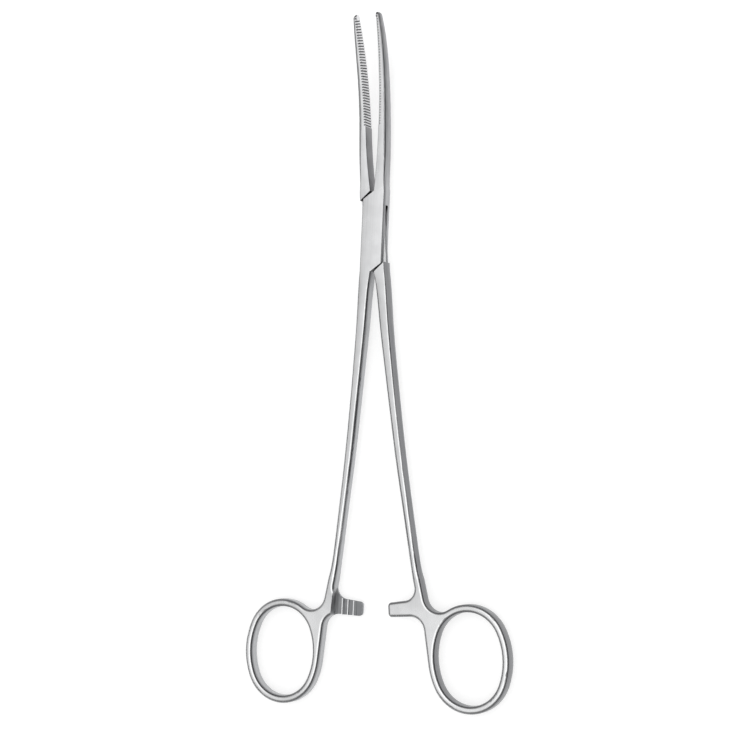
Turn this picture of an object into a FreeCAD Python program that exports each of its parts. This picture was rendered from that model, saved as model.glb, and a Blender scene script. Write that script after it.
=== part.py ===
# Ring-handled dissecting forceps with a box lock, built in millimetres.
#
# +Y runs along the instrument to the jaw tips, +X to the right and +Z up. The origin is on the joint
# axis, at the level of the surface that the instrument lies on. Each half is modelled with the jaws
# closed and is then turned about the joint axis, so that the forceps lies slightly open.

import FreeCAD, Part
import math
import os
import Sketcher

Vector = FreeCAD.Vector
X_AXIS = Vector(1, 0, 0)
Y_AXIS = Vector(0, 1, 0)
Z_AXIS = Vector(0, 0, 1)

doc = FreeCAD.newDocument("ring_forceps")
sizes = doc.addObject("Spreadsheet::Sheet", "Sizes")

# Driving dimensions: name, value, meaning
DIMENSIONS = [
    ("opening_angle", 5.66, "degrees between the halves as the forceps lies, counted from closed jaws"),
    ("body_thickness", 4.8, "thickness of lock, webs and finger rings"),
    ("pin_radius", 1.6, "joint pin"),
    ("pin_clearance", 0.04, "running clearance of the pin in the tenon, on the radius"),
    ("lock_half_width", 4.15, "joint axis to the side of the lock"),
    ("lock_corner_out", 11.0, "joint axis to the shoulder line at the side of the lock"),
    ("lock_corner_in", 14.0, "joint axis to the shoulder line at the crotch"),
    ("bridge_out", 1.9, "wall between slot and shoulder line at the side of the lock"),
    ("bridge_in", 0.6, "wall between slot and shoulder line at the crotch"),
    ("slot_height", 1.7, "height of the slot through the box"),
    ("tenon_clearance", 0.04, "play of the tenon in the slot, above and below"),
    ("tenon_end_gap", 0.25, "gap between tenon and slot end with the jaws closed"),
    ("shoulder_gap", 0.12, "gap between the shoulders and the box walls"),
    ("lock_round", 0.4, "rounding of the long edges of the lock"),
    ("crotch_round", 0.06, "rounding of the inner edges at the crotch"),
    ("crotch_gap", 0.1, "centre plane to the inner faces at the crotch"),
    ("jaw_play", 0.03, "centre plane to the jaw tip with the jaws closed"),
    ("jaw_bow", 0.83, "degrees of lean of the serrated faces, which meet at the tips first"),
    ("jaw_inner_round", 0.2, "rounding of the inner edges of the jaws"),
    ("curve_start", 37.0, "joint axis to the start of the jaw curve and the serrations"),
    ("curve_radius", 125.0, "radius of the jaw curve along the middle of the jaw"),
    ("curve_sweep", 18.0, "degrees of the jaw curve up to the tip"),
    ("tip_round", 1.5, "length of the rounded jaw tip"),
    ("tip_outer", 1.75, "jaw tip, centre plane to outer face"),
    ("tip_thinner", 1.85, "lock thickness less the thickness of the jaw tip"),
    ("tip_edge", 0.65, "rounding of the outer edges at the jaw tip"),
    ("tip_side", 1.3, "radius of the jaw tip's outer side, as a multiple of half its thickness"),
    ("serration_pitch", 0.96, "distance between serrations along the jaw"),
    ("serration_depth", 0.36, "depth of the serrations"),
    ("serration_land", 0.12, "flat left between two serrations"),
    ("serration_end", 1.3, "last serration to the end of the jaw, at least"),
    ("handle_start", 120.0, "joint axis to the start of the web"),
    ("box_handle_out", 9.57, "centre plane to the middle of the box half's shank where the web starts"),
    ("tenon_handle_out", 10.92, "centre plane to the middle of the tenon half's shank where the web starts"),
    ("handle_width", 2.9, "width of the shank where the web starts"),
    ("handle_round", 1.15, "rounding of the edges of web and finger ring"),
    ("box_ring_reach", 18.38, "middle of the box half's shank to the middle of its finger ring"),
    ("tenon_ring_reach", 17.58, "middle of the tenon half's shank to the middle of its finger ring"),
    ("ring_drop", 26.6, "start of the web to the middle of the finger ring, along the instrument"),
    ("hole_half_length", 15.4, "half the length of the finger hole"),
    ("hole_half_width", 12.15, "half the width of the finger hole"),
    ("hole_end_less", 0.85, "half the width of the finger hole less the radius of its ends"),
    ("ring_wall", 2.65, "width of the finger ring's bar, seen from above"),
    ("web_outer_radius", 5.5, "hollow between shank and finger ring"),
    ("web_lower_radius", 5.0, "hollow between ratchet arm and finger ring"),
    ("web_upper_radius", 4.0, "hollow between ratchet arm and shank"),
    ("web_lean", 5.0, "degrees of lean of the web below the ratchet arm"),
    ("shank_flare", 10.0, "degrees of lean of the shank where it meets the web"),
    ("arm_drop", 7.4, "start of the web to the upper edge of the ratchet arms, on the centre plane"),
    ("arm_lean", 5.0, "degrees of slope of the arms' upper edge, down to the end"),
    ("arm_height", 4.9, "height of the ratchet arms on the centre plane, seen from above"),
    ("box_arm_reach", 1.7, "reach of the box half's arm past the centre plane"),
    ("tenon_arm_reach", 0.25, "reach of the tenon half's arm past the centre plane"),
    ("arm_corner", 1.2, "corner radius at the end of the arms"),
    ("arm_root_top", 0.92, "middle of the shank to the root of the thinned arm, above the arm"),
    ("arm_root_bottom", 0.02, "middle of the shank to the root of the thinned arm, below the arm"),
    ("tooth_clearance", 0.1, "gap between the crests of the two ratchets"),
    ("tooth_height", 0.8, "height of a ratchet tooth"),
    ("tooth_pitch", 2.2, "distance between ratchet teeth"),
    ("tooth_land", 0.35, "width of a tooth's flat crest"),
    ("tooth_count", 3, "number of ratchet teeth on each arm"),
    ("tooth_end", 3.5, "end of the arm to the last tooth space"),
]

# Jaw behind its curve: name, share of the way from the lock to the curve, inner offset, outer offset,
# how much thinner than the lock, rounding, radius of the side as a multiple of half the thickness
JAW_SECTIONS = [
    ("jaw_a", 0.35, 0.47, 4.17, 0.04, 0.75, 2.5),
    ("jaw_b", 0.7, 0.66, 4.18, 0.04, 1.1, 1.6),
]

# Jaw on its curve: name, share of the curve, outer offset, how much thinner than the lock, rounding,
# radius of the side as a multiple of half the thickness
CURVE_SECTIONS = [
    ("curve_a", 0.0, 3.94, 0.08, 1.3, 1.3),
    ("curve_b", 0.2, 3.6, 0.2, 1.3, 1.3),
    ("curve_c", 0.4, 3.28, 0.45, 1.2, 1.3),
    ("curve_d", 0.6, 2.95, 0.8, 1.1, 1.3),
    ("curve_e", 0.8, 2.46, 1.32, 0.95, 1.3),
]

# Shank: name, share of its length, share of its way out from the lock to the web, width,
# how much thinner than the lock, rounding, radius of the sides as a multiple of half the thickness
SHANK_SECTIONS = [
    ("shank_a", 0.16, 0.096, 4.05, 0.1, 0.7, 3.0),
    ("shank_b", 0.32, 0.209, 4.05, 0.3, 0.7, 1.6),
    ("shank_c", 0.48, 0.345, 3.85, 0.55, 0.75, 1.35),
    ("shank_d", 0.64, 0.505, 3.6, 0.75, 0.8, 1.3),
    ("shank_e", 0.785, 0.685, 3.37, 0.85, 0.95, 1.27),
    ("shank_f", 0.9, 0.828, 3.28, 0.75, 1.05, 1.28),
]

# Angles round the tip's rounding at which the jaw has a section, in degrees
TIP_ANGLES = [0, 30, 55, 75]


def section_rows(sections, columns):
    """Rows of the sheet for a list of cross-sections."""
    rows = []
    for name, *values in sections:
        for (ending, meaning), value in zip(columns, values):
            rows.append((name + ending, value, meaning))
    return rows


def fill_sheet():
    """Write every driving dimension into the sheet."""
    share = ("_share", "share of the way to this cross-section")
    inner = ("_inner", "centre plane to the inner face")
    outer = ("_outer", "centre plane to the outer face")
    spread = ("_spread", "share of the way out from the lock to the web")
    width = ("_width", "width seen from above")
    thinner = ("_thinner", "lock thickness less the thickness here")
    edge = ("_round", "rounding of the edges")
    bow = ("_side", "radius of the round side, as a multiple of half the thickness")
    rows = list(DIMENSIONS)
    rows += section_rows(JAW_SECTIONS, (share, inner, outer, thinner, edge, bow))
    rows += section_rows(CURVE_SECTIONS, (share, outer, thinner, edge, bow))
    rows += section_rows(SHANK_SECTIONS, (share, spread, width, thinner, edge, bow))
    for row, (name, value, meaning) in enumerate(rows, start=1):
        sizes.set("A%d" % row, name)
        sizes.set("B%d" % row, str(value))
        sizes.setAlias("B%d" % row, name)
        sizes.set("C%d" % row, meaning)
    doc.recompute()


class Size:
    """A value together with the formula that gives it from the sheet."""

    def __init__(self, value, formula=None):
        self.value = float(value)
        self.formula = formula or repr(float(value))

    def join(self, other, value, sign):
        other = other if isinstance(other, Size) else Size(other)
        return Size(value(self.value, other.value), "(%s %s %s)" % (self.formula, sign, other.formula))

    def __add__(self, other):
        return self.join(other, lambda a, b: a + b, "+")

    def __sub__(self, other):
        return self.join(other, lambda a, b: a - b, "-")

    def __mul__(self, other):
        return self.join(other, lambda a, b: a * b, "*")

    def __truediv__(self, other):
        return self.join(other, lambda a, b: a / b, "/")

    def __neg__(self):
        return self * -1


def size(name):
    """The named dimension."""
    return Size(sizes.get(name), "Sizes." + name)


def own(side, name):
    """The named dimension of one half: the box half for side 1, the tenon half for side -1."""
    return size(("box_" if side > 0 else "tenon_") + name)


def sine(angle):
    """Sine of an angle in degrees."""
    return Size(math.sin(math.radians(angle.value)), "sin(%s)" % angle.formula)


def cosine(angle):
    """Cosine of an angle in degrees."""
    return Size(math.cos(math.radians(angle.value)), "cos(%s)" % angle.formula)


def tangent(angle):
    """Tangent of an angle in degrees."""
    return Size(math.tan(math.radians(angle.value)), "tan(%s)" % angle.formula)


def whole(number):
    """The whole part of a number."""
    return Size(math.floor(number.value), "floor(%s)" % number.formula)


def thinned(name):
    """Thickness of a cross-section that is thinner than the lock."""
    return size("body_thickness") - size(name + "_thinner")


def between(low, high, share):
    """The length at a share of the way between two lengths."""
    return low + (high - low) * share


def bind(item, prop, length):
    """Tie a property of an object to the sheet."""
    setattr(item, prop, length.value)
    item.setExpression(prop, length.formula)


def sketch_on(body, name, role, at=(Size(0), Size(0), Size(0)), axis=Z_AXIS, turn=Size(0)):
    """A sketch on one of the body's origin planes, shifted and turned in that plane's own axes."""
    plane = [item for item in body.Origin.OriginFeatures if item.Role == role][0]
    sketch = body.newObject("Sketcher::SketchObject", name)
    sketch.AttachmentSupport = [(plane, "")]
    sketch.MapMode = "FlatFace"
    base = Vector(at[0].value, at[1].value, at[2].value)
    sketch.AttachmentOffset = FreeCAD.Placement(base, FreeCAD.Rotation(axis, turn.value))
    for letter, shift in zip("xyz", at):
        sketch.setExpression("AttachmentOffset.Base." + letter, shift.formula)
    if turn.value:
        sketch.setExpression("AttachmentOffset.Rotation.Angle", turn.formula)
    return sketch


def dimension(sketch, kind, *parts):
    """A dimension in a sketch; the last part is the Size that it is tied to."""
    length = parts[-1]
    index = sketch.addConstraint(Sketcher.Constraint(kind, *parts[:-1], length.value))
    sketch.setExpression("Constraints[%d]" % index, length.formula)


def place_point(sketch, edge, end, x, y):
    """Dimension one end of an edge from the sketch's origin."""
    dimension(sketch, "DistanceX", -1, 1, edge, end, x)
    dimension(sketch, "DistanceY", -1, 1, edge, end, y)


def polygon(sketch, corners):
    """A closed outline of straight edges through the given corners."""
    points = [Vector(x.value, y.value, 0) for x, y in corners]
    count = len(points)
    for index in range(count):
        sketch.addGeometry(Part.LineSegment(points[index], points[(index + 1) % count]), False)
    for index in range(count):
        sketch.addConstraint(Sketcher.Constraint("Coincident", index, 2, (index + 1) % count, 1))
    for index, (x, y) in enumerate(corners):
        place_point(sketch, index, 1, x, y)


def section_wall(face, side, half, edge, bow):
    """Both corners of a section's wall, each as its ends and middle, and the middle of the wall.

    Each corner starts on the wall; edge is the corners' radius and bow that of a round wall.
    """
    level = half.value - edge.value
    inset = edge.value
    if bow:
        reach = bow.value - edge.value
        inset = bow.value - math.sqrt(reach**2 - level**2)
    corners = []
    for up in (-1, 1):
        centre = Vector(face.value - side * inset, up * level, 0)
        joint = centre + Vector(side * edge.value, 0, 0)
        if bow:
            joint = toward(Vector(face.value - side * bow.value, 0, 0), centre, bow.value)
        top = centre + Vector(0, up * edge.value, 0)
        corners.append((joint, toward(centre, (joint + top) / 2, edge.value), top))
    return corners[0], corners[1], Vector(face.value, 0, 0)


def dimension_wall(sketch, wall, face, side, bow):
    """Tie a section's flat or round wall to the sheet."""
    if bow:
        sketch.addConstraint(Sketcher.Constraint("PointOnObject", wall, 3, -1))
        dimension(sketch, "Radius", wall, bow)
        dimension(sketch, "DistanceX", -1, 1, wall, 3, face - bow * side)
    else:
        sketch.addConstraint(Sketcher.Constraint("Vertical", wall))
        dimension(sketch, "DistanceX", -1, 1, wall, 1, face)


def rounded_section(sketch, faces, half, rounds, bows=(None, None)):
    """A bar's cross-section with rounded corners, from its inner to its outer face.

    faces, rounds and bows hold an inner and an outer value: the faces' places, the radii of the
    corners and the radii of the walls; a wall without a radius is flat.
    """
    side = 1 if faces[1].value > faces[0].value else -1
    outer = section_wall(faces[1], side, half, rounds[1], bows[1])
    inner = section_wall(faces[0], -side, half, rounds[0], bows[0])
    loops = [outer[0][::-1], outer[1], inner[1][::-1], inner[0]]
    middles = [outer[2], None, inner[2], None]
    for index, (first, middle, last) in enumerate(loops):
        sketch.addGeometry(Part.Arc(first, middle, last), False)
        follower = loops[(index + 1) % 4][0]
        if middles[index] and bows[1 if index == 0 else 0]:
            sketch.addGeometry(Part.Arc(last, middles[index], follower), False)
        else:
            sketch.addGeometry(Part.LineSegment(last, follower), False)
    join_smoothly(sketch, 8)
    for line, level in ((3, half), (7, -half)):
        sketch.addConstraint(Sketcher.Constraint("Horizontal", line))
        dimension(sketch, "DistanceY", -1, 1, line, 1, level)
    for arc, radius in ((0, rounds[1]), (2, rounds[1]), (4, rounds[0]), (6, rounds[0])):
        dimension(sketch, "Radius", arc, radius)
    dimension_wall(sketch, 1, faces[1], side, bows[1])
    dimension_wall(sketch, 5, faces[0], -side, bows[0])


def join_smoothly(sketch, count, open_joints=()):
    """Join each edge to the next and make them tangent, apart from the joints that are named."""
    for index in range(count):
        follower = (index + 1) % count
        kind = "Coincident" if index in open_joints else "Tangent"
        end, start = meeting_ends(sketch, index, follower)
        sketch.addConstraint(Sketcher.Constraint(kind, index, end, follower, start))


def meeting_ends(sketch, index, follower):
    """The ends at which two neighbouring edges meet, as 1 for start and 2 for end."""
    best = None
    for one in (1, 2):
        for other in (1, 2):
            gap = sketch.getPoint(index, one).distanceToPoint(sketch.getPoint(follower, other))
            if best is None or gap < best[0]:
                best = (gap, one, other)
    return best[1], best[2]


def make_feature(body, kind, name, profile):
    feature = body.newObject("PartDesign::" + kind, name)
    feature.Profile = profile
    return feature


def pad(body, name, profile, length):
    """Raise a sketch into a plate."""
    feature = make_feature(body, "Pad", name, profile)
    bind(feature, "Length", length)
    profile.Visibility = False
    return feature


def cut_both_ways(body, name, profile, length):
    """Cut a sketch out of the body, half of the length above it and half below."""
    feature = make_feature(body, "Pocket", name, profile)
    feature.SideType = "Symmetric"
    bind(feature, "Length", length)
    return feature


def round_edges(body, name, base, edges, radius):
    """Round the listed edges of the last feature."""
    feature = body.newObject("PartDesign::Fillet", name)
    feature.Base = (base, edges)
    bind(feature, "Radius", radius)
    return feature


def inner_face(rise):
    """Offset of the serrated face at an angle along the jaw curve."""
    sweep = size("curve_sweep")
    ahead = size("curve_radius") * (sine(sweep) - sine(rise))
    return size("jaw_play") + ahead * tangent(size("jaw_bow"))


def straight_section(body, name, along, faces, thick, rounds, bows, sign):
    """A cross-section at right angles to the instrument, with Y given by along."""
    mid = size("body_thickness") / 2
    sketch = sketch_on(body, name, "XZ_Plane", (Size(0), mid, -along))
    rounded_section(sketch, (faces[0] * sign, faces[1] * sign), thick / 2, rounds, bows)
    return sketch


def curved_section(body, name, rise, outer, thick, rounds, bow, sign):
    """A cross-section at right angles to the jaw curve, at an angle along it."""
    radius = size("curve_radius")
    along = size("curve_start") + radius * sine(rise)
    up = size("body_thickness") / 2 + radius * (Size(1) - cosine(rise))
    sketch = sketch_on(body, name, "XZ_Plane", (Size(0), up, -along), X_AXIS, rise)
    faces = (inner_face(rise) * sign, outer * sign)
    rounded_section(sketch, faces, thick / 2, rounds, (None, bow))
    return sketch


def loft(body, name, sections):
    feature = body.newObject("PartDesign::AdditiveLoft", name)
    feature.Profile = sections[0]
    feature.Sections = sections[1:]
    return feature


def lock_end_section(body, name, along, sign):
    """The cross-section with which a jaw or a shank leaves the lock."""
    faces = (size("crotch_gap"), size("lock_half_width"))
    rounds = (size("crotch_round"), size("lock_round"))
    return straight_section(body, name, along, faces, size("body_thickness"), rounds, (None, None), sign)


def add_jaw(body, side):
    """The jaw, straight as far as the serrations and then curved upwards to its rounded tip."""
    edge = size("jaw_inner_round")
    sections = [lock_end_section(body, "jaw_start", size("lock_corner_in"), side)]
    for name, *_ in JAW_SECTIONS:
        place = between(size("lock_corner_in"), size("curve_start"), size(name + "_share"))
        faces = (size(name + "_inner"), size(name + "_outer"))
        thick = thinned(name)
        rounds = (edge, size(name + "_round"))
        bows = (None, thick / 2 * size(name + "_side"))
        sections.append(straight_section(body, name, place, faces, thick, rounds, bows, side))
    for name, *_ in CURVE_SECTIONS:
        rise = size("curve_sweep") * size(name + "_share")
        thick = thinned(name)
        rounds = (edge, size(name + "_round"))
        bow = thick / 2 * size(name + "_side")
        sections.append(curved_section(body, name, rise, size(name + "_outer"), thick, rounds, bow, side))
    tip = tip_sections(body, side)
    loft(body, "jaw", sections + tip[:1])
    return loft(body, "jaw_tip", tip)


def jaw_arc():
    """Length of the jaw's curve."""
    return size("curve_radius") * size("curve_sweep") * (math.pi / 180)


def tip_sections(body, side):
    """Cross-sections that shrink towards the end of the jaw."""
    sections = []
    for angle in TIP_ANGLES:
        shrink = cosine(Size(angle))
        share = Size(1) - size("tip_round") / jaw_arc() * (Size(1) - sine(Size(angle)))
        rise = size("curve_sweep") * share
        inner = inner_face(rise)
        outer = inner + (size("tip_outer") - inner) * shrink
        thick = thinned("tip") * shrink
        rounds = (size("jaw_inner_round") * shrink, size("tip_edge") * shrink)
        bow = thick / 2 * size("tip_side")
        name = "tip_%d" % angle
        sections.append(curved_section(body, name, rise, outer, thick, rounds, bow, side))
    return sections


def add_shank(body, side):
    """The slender shank from the lock to the web, with round sides."""
    sections = [lock_end_section(body, "shank_start", -size("lock_corner_in"), -side)]
    lock_middle = between(size("crotch_gap"), size("lock_half_width"), Size(0.5))
    for name, *_ in SHANK_SECTIONS:
        place = between(size("lock_corner_in"), size("handle_start"), size(name + "_share"))
        middle = between(lock_middle, own(side, "handle_out"), size(name + "_spread"))
        half = size(name + "_width") / 2
        thick = thinned(name)
        rounds = (size(name + "_round"), size(name + "_round"))
        bow = thick / 2 * size(name + "_side")
        faces = (middle - half, middle + half)
        sections.append(straight_section(body, name, -place, faces, thick, rounds, (bow, bow), -side))
    mid = size("body_thickness") / 2
    flare = size("shank_flare") * -side
    place = (own(side, "handle_out") * -side, mid, size("handle_start"))
    sketch = sketch_on(body, "shank_end", "XZ_Plane", place, Y_AXIS, flare)
    half = size("handle_width") / 2
    edge = size("handle_round")
    rounded_section(sketch, (half * side, half * -side), mid, (edge, edge))
    sections.append(sketch)
    return loft(body, "shank", sections)


def add_lock_block(body):
    """The full bar of the lock, between the jaw and the shank."""
    width = size("lock_half_width")
    edge = size("lock_round")
    sketch = sketch_on(body, "lock_section", "XZ_Plane", (Size(0), size("body_thickness") / 2, Size(0)))
    rounded_section(sketch, (-width, width), size("body_thickness") / 2, (edge, edge))
    block = make_feature(body, "Pad", "lock_block", sketch)
    block.SideType = "Symmetric"
    bind(block, "Length", size("lock_corner_in") * 2)
    return block


def add_pin_hole(body, radius):
    sketch = sketch_on(body, "pin_hole", "XY_Plane", (Size(0), Size(0), size("body_thickness") / 2))
    sketch.addGeometry(Part.Circle(Vector(0, 0, 0), Z_AXIS, radius.value), False)
    sketch.addConstraint(Sketcher.Constraint("Coincident", 0, 3, -1, 1))
    dimension(sketch, "Radius", 0, radius)
    return cut_both_ways(body, "pin_bore", sketch, size("body_thickness") * 2)


def mirrored_through_axis(corners):
    """The same outline on the other side of the joint axis."""
    return [(-x, -y) for x, y in corners]


def shoulder_cut(side, gap, out, inside, beyond):
    """Outline beyond a slanted end line, on the jaw end of the lock, on the side away from the jaw."""
    width = size("lock_half_width")
    far = width + beyond
    return [
        (far * -side, out),
        (width * -side, out),
        (gap * side, inside),
        (gap * side, inside + beyond),
        (far * -side, inside + beyond),
    ]


def cut_box(body, side):
    """Shoulders, slot and pin bore of the box half."""
    gap = size("crotch_gap")
    beyond = size("body_thickness") / 2
    mid = size("body_thickness") / 2
    out = size("lock_corner_out")
    inside = size("lock_corner_in")
    upper = shoulder_cut(side, gap, out, inside, beyond)
    for name, corners in (("upper_shoulder", upper), ("lower_shoulder", mirrored_through_axis(upper))):
        sketch = sketch_on(body, name + "_line", "XY_Plane", (Size(0), Size(0), mid))
        polygon(sketch, corners)
        cut_both_ways(body, name, sketch, size("body_thickness") * 2)
    far = size("lock_half_width") + beyond
    slot_out = out - size("bridge_out")
    top = [
        (far * side, slot_out),
        (size("lock_half_width") * side, slot_out),
        (gap * side, inside - size("bridge_in")),
        (gap * side, inside + beyond),
        (far * -side, inside + beyond),
    ]
    sketch = sketch_on(body, "slot_outline", "XY_Plane", (Size(0), Size(0), mid))
    polygon(sketch, top + mirrored_through_axis(top))
    cut_both_ways(body, "slot", sketch, size("slot_height"))
    return add_pin_hole(body, size("pin_radius"))


def cut_tenon(body, side):
    """Ends, faces and pin bore of the tenon, which passes through the slot."""
    gap = size("crotch_gap")
    beyond = size("body_thickness") / 2
    mid = size("body_thickness") / 2
    far = size("lock_half_width") + beyond
    end_out = size("lock_corner_out") - size("bridge_out") - size("tenon_end_gap")
    end_in = size("lock_corner_in") - size("bridge_in") - size("tenon_end_gap")
    upper = shoulder_cut(side, gap, end_out, end_in, size("lock_corner_in"))
    for name, corners in (("upper_end", upper), ("lower_end", mirrored_through_axis(upper))):
        sketch = sketch_on(body, name + "_line", "XY_Plane", (Size(0), Size(0), mid))
        polygon(sketch, corners)
        cut_both_ways(body, name, sketch, size("body_thickness") * 2)
    out = size("lock_corner_out") + size("shoulder_gap")
    inside = size("lock_corner_in") + size("shoulder_gap")
    half_outline = [
        (far * side, out),
        (size("lock_half_width") * side, out),
        (gap * side, inside),
        (far * -side, inside),
    ]
    outline = half_outline + mirrored_through_axis(half_outline)
    cheek = (size("body_thickness") - size("slot_height")) / 2 + size("tenon_clearance")
    lift = size("body_thickness") + beyond
    for name, level, flip in (("front_cheek", lift, False), ("rear_cheek", -beyond, True)):
        sketch = sketch_on(body, name + "_outline", "XY_Plane", (Size(0), Size(0), level))
        polygon(sketch, outline)
        pocket = make_feature(body, "Pocket", name, sketch)
        pocket.Reversed = flip
        bind(pocket, "Length", cheek + beyond)
    return add_pin_hole(body, size("pin_radius") + size("pin_clearance"))


def point(x, y):
    """A point of a sketch, from two sizes."""
    return Vector(x.value, y.value, 0)


def toward(start, end, distance):
    """The point at a distance from start on the way to end."""
    return start + (end - start).normalize() * distance


def arc_between(centre, start, end):
    """The shorter arc about a centre."""
    radius = (start - centre).Length
    middle = toward(centre, (start + end) / 2, radius)
    return Part.Arc(start, middle, end)


def round_corner(before, corner, after, radius):
    """The arc of a rounded corner between two straight edges."""
    one = (before - corner).normalize()
    other = (after - corner).normalize()
    half_angle = one.getAngle(other) / 2
    reach = radius.value / math.tan(half_angle)
    centre = corner + (one + other).normalize() * (radius.value / math.sin(half_angle))
    return arc_between(centre, corner + one * reach, corner + other * reach)


def crossing(start, direction, other, way):
    """Where two straight lines meet, each given by a point and its direction."""
    gap = other - start
    return start + direction * ((gap.x * way.y - gap.y * way.x) / (direction.x * way.y - direction.y * way.x))


def ring_oval(side, grow):
    """Centres and radii of the finger ring's oval, as far outside the hole as grow says."""
    half_width = size("hole_half_width")
    end_radius = half_width - size("hole_end_less")
    shift = size("hole_half_length") - end_radius
    spare = (half_width - end_radius) * 2
    side_radius = (half_width * half_width + shift * shift - end_radius * end_radius) / spare
    out = own(side, "handle_out") + own(side, "ring_reach")
    down = -(size("handle_start") + size("ring_drop"))
    return {
        "top": (out, down + shift),
        "right": (out - side_radius + half_width, down),
        "bottom": (out, down - shift),
        "left": (out + side_radius - half_width, down),
        "end": end_radius + grow,
        "side": side_radius + grow,
    }


def oval_joint(oval, side_centre, end_centre):
    """Where a side arc of the oval passes into an end arc."""
    return toward(point(*oval[side_centre]), point(*oval[end_centre]), oval["side"].value)


def draw(sketch, edges, side):
    """Put edges into a sketch, mirrored where the shank lies on the negative side."""
    mirror = FreeCAD.Matrix()
    mirror.A11 = -side
    for edge in edges:
        if isinstance(edge, Part.Arc):
            curve = edge.toShape()
            ends = (curve.FirstParameter, curve.LastParameter)
            points = [curve.valueAt(ends[0]), curve.valueAt(sum(ends) / 2), curve.valueAt(ends[1])]
            sketch.addGeometry(Part.Arc(*[mirror.multVec(place) for place in points]), False)
        else:
            sketch.addGeometry(Part.LineSegment(*[mirror.multVec(place) for place in edge]), False)


def shank_end(side):
    """The two ends of the line across the shank where the web starts, inner end first."""
    lean = size("shank_flare")
    across = size("handle_width") / 2 * cosine(lean)
    along = size("handle_width") / 2 * sine(lean)
    middle = own(side, "handle_out")
    start = -size("handle_start")
    return (middle - across, start - along), (middle + across, start + along)


def web_foot(oval):
    """Where the web below the ratchet arm leaves the finger ring."""
    tilt = size("web_lean")
    x, y = oval["left"]
    return x - oval["side"] * cosine(tilt), y - oval["side"] * sine(tilt)


def outer_web(oval, outer, down, outward):
    """Where the shank passes into the outer hollow, the hollow's centre, and where it meets the ring."""
    hollow = size("web_outer_radius").value
    line_point = outer + outward * hollow
    ring_centre = point(*oval["top"])
    end_radius = oval["end"].value
    offset = line_point - ring_centre
    along = offset.dot(down)
    across = offset.Length**2 - along**2
    run = -along - math.sqrt((end_radius + hollow)**2 - across)
    centre = line_point + down * run
    return centre - outward * hollow, centre, toward(ring_centre, centre, end_radius)


def handle_edges(side):
    """Outline of web, ratchet arm and finger ring, drawn for a shank on the positive side."""
    oval = ring_oval(side, size("ring_wall"))
    inner, outer = [point(*place) for place in shank_end(side)]
    outward = (outer - inner).normalize()
    down = Vector(outward.y, -outward.x, 0)
    leave_shank, hollow, meet_ring = outer_web(oval, outer, down, outward)
    leave_ring = point(*web_foot(oval))
    tilt = math.radians(size("web_lean").value)
    lean = math.radians(size("arm_lean").value)
    upper_edge = Vector(math.cos(lean), math.sin(lean), 0)
    top, bottom = [Vector(0, level.value, 0) for level in arm_levels()]
    end = Vector(-own(side, "arm_reach").value, 0, 0)
    corner = size("arm_corner")
    web_corner = crossing(leave_ring, Vector(-math.sin(tilt), math.cos(tilt), 0), bottom, X_AXIS)
    tip_bottom = end + bottom
    tip_top = crossing(end, Y_AXIS, top, upper_edge)
    root = crossing(inner, down, top, upper_edge)
    lower = round_corner(leave_ring, web_corner, tip_bottom, size("web_lower_radius"))
    tip_low = round_corner(web_corner, tip_bottom, tip_top, corner)
    tip_high = round_corner(tip_bottom, tip_top, root, corner)
    upper = round_corner(tip_top, root, inner, size("web_upper_radius"))
    one = oval_joint(oval, "right", "top")
    two = oval_joint(oval, "right", "bottom")
    three = oval_joint(oval, "left", "bottom")
    return [
        (outer, leave_shank),
        arc_between(hollow, leave_shank, meet_ring),
        arc_between(point(*oval["top"]), meet_ring, one),
        arc_between(point(*oval["right"]), one, two),
        arc_between(point(*oval["bottom"]), two, three),
        arc_between(point(*oval["left"]), three, leave_ring),
        (leave_ring, lower.StartPoint),
        lower,
        (lower.EndPoint, tip_low.StartPoint),
        tip_low,
        (tip_low.EndPoint, tip_high.StartPoint),
        tip_high,
        (tip_high.EndPoint, upper.StartPoint),
        upper,
        (upper.EndPoint, inner),
        (inner, outer),
    ]


def arm_levels():
    """Y of the upper and the lower edge of the ratchet arms on the centre plane."""
    top = -(size("handle_start") + size("arm_drop"))
    return top, top - size("arm_height")


def dimension_oval(sketch, oval, side, first):
    """Tie four arcs of an oval, in the order top, right, bottom, left, to the sheet.

    The height of the left arc's centre follows from its neighbours in a closed oval, so it is left out.
    """
    for index, name in enumerate(("top", "right", "bottom")):
        x, y = oval[name]
        place_point(sketch, first + index, 3, x * -side, y)
    dimension(sketch, "DistanceX", -1, 1, first + 3, 3, oval["left"][0] * -side)
    dimension(sketch, "Radius", first, oval["end"])


def dimension_handle(sketch, side):
    """Tie the handle's outline to the sheet."""
    oval = ring_oval(side, size("ring_wall"))
    reach = own(side, "arm_reach")
    corner = size("arm_corner")
    top, bottom = arm_levels()
    dimension_oval(sketch, oval, side, 2)
    dimension(sketch, "DistanceY", -1, 1, 5, 3, oval["left"][1])
    radii = ((1, size("web_outer_radius")), (7, size("web_lower_radius")), (9, corner))
    for arc, radius in radii + ((11, corner), (13, size("web_upper_radius"))):
        dimension(sketch, "Radius", arc, radius)
    for line, kind in ((8, "Horizontal"), (10, "Vertical")):
        sketch.addConstraint(Sketcher.Constraint(kind, line))
    dimension(sketch, "DistanceY", -1, 1, 8, 1, bottom)
    dimension(sketch, "DistanceX", -1, 1, 10, 1, reach * side)
    lean = size("arm_lean")
    centre = top + (corner - reach) * tangent(lean) - corner / cosine(lean)
    dimension(sketch, "DistanceY", -1, 1, 11, 3, centre)
    dimension(sketch, "DistanceY", -1, 1, 12, 1, centre + corner * cosine(lean))
    inner, outer = shank_end(side)
    place_point(sketch, 15, 1, inner[0] * -side, inner[1])
    place_point(sketch, 15, 2, outer[0] * -side, outer[1])
    for line in (0, 14):
        sketch.addConstraint(Sketcher.Constraint("Perpendicular", line, 15))
    dimension(sketch, "DistanceY", -1, 1, 6, 1, web_foot(oval)[1])


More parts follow.
